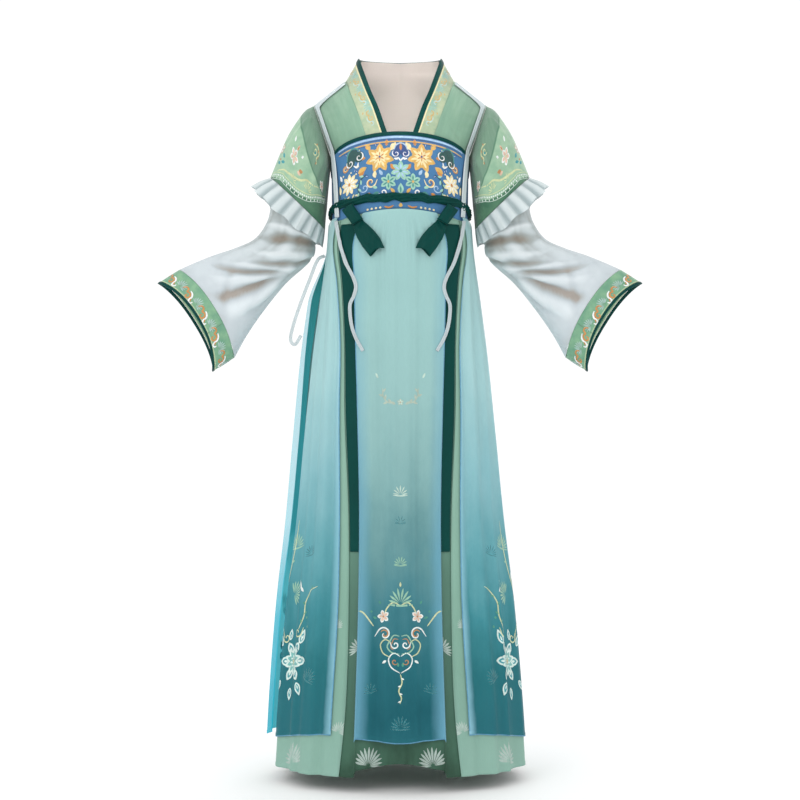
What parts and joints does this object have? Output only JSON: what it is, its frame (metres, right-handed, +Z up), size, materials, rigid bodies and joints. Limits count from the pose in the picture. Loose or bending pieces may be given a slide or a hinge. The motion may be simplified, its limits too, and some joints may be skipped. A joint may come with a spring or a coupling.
{
  "type": "hanfu robe",
  "caption": "Worn chest-high hanfu dress: crossed-collar shirt with trumpet sleeves, embroidered chest band with a belt and bows, layered skirt and a sheer open-sided over-vest, hollow inside.",
  "frame": {"origin": "between the shoulders at the base of the neck, where a wearer carries the dress", "axes": "+Z up along the body, the front faces -Y, +X is the right side as seen from the front"},
  "size_m": [0.9696, 0.4124, 1.4075],
  "materials": {
    "shirt": "matte",
    "sleeve_print": "matte",
    "sheer_white": "matte",
    "band_pattern": "matte",
    "dark_green": "matte",
    "beige_lining": "matte",
    "bodice_blue": "matte",
    "skirt_green": "matte",
    "apron_teal": "matte",
    "vest_blue": "matte",
    "sheer_trim": "matte"
  },
  "bodies": {
    "root": {"shirt_front_left": "shirt", "shirt_front_right": "shirt", "shirt_back": "shirt", "collar_band": "band_pattern", "collar_binding": "dark_green", "back_neck_lining": "beige_lining", "bodice_front": "bodice_blue", "bodice_back": "bodice_blue", "bodice_binding_front": "dark_green", "bodice_binding_back": "dark_green", "chest_ribbon": "dark_green", "underskirt_front": "skirt_green", "underskirt_back": "skirt_green", "apron": "apron_teal", "vest_back": "vest_blue", "side_tie_loop": "sheer_trim", "sleeve_cap_left": "sleeve_print", "sleeve_ruffle_left": "sheer_white", "sleeve_lower_left": "sheer_white", "cuff_band_left": "band_pattern", "cuff_binding_left": "dark_green", "vest_front_left": "vest_blue", "vest_strap_left": "sheer_trim", "vest_tie_left": "sheer_trim", "bow_knot_left": "dark_green", "bow_loop_left": "dark_green", "ribbon_tail_left": "dark_green", "sleeve_cap_right": "sleeve_print", "sleeve_ruffle_right": "sheer_white", "sleeve_lower_right": "sheer_white", "cuff_band_right": "band_pattern", "cuff_binding_right": "dark_green", "vest_front_right": "vest_blue", "vest_strap_right": "sheer_trim", "vest_tie_right": "sheer_trim", "bow_knot_right": "dark_green", "bow_loop_right": "dark_green", "ribbon_tail_right": "dark_green"}
  },
  "joints": []
}
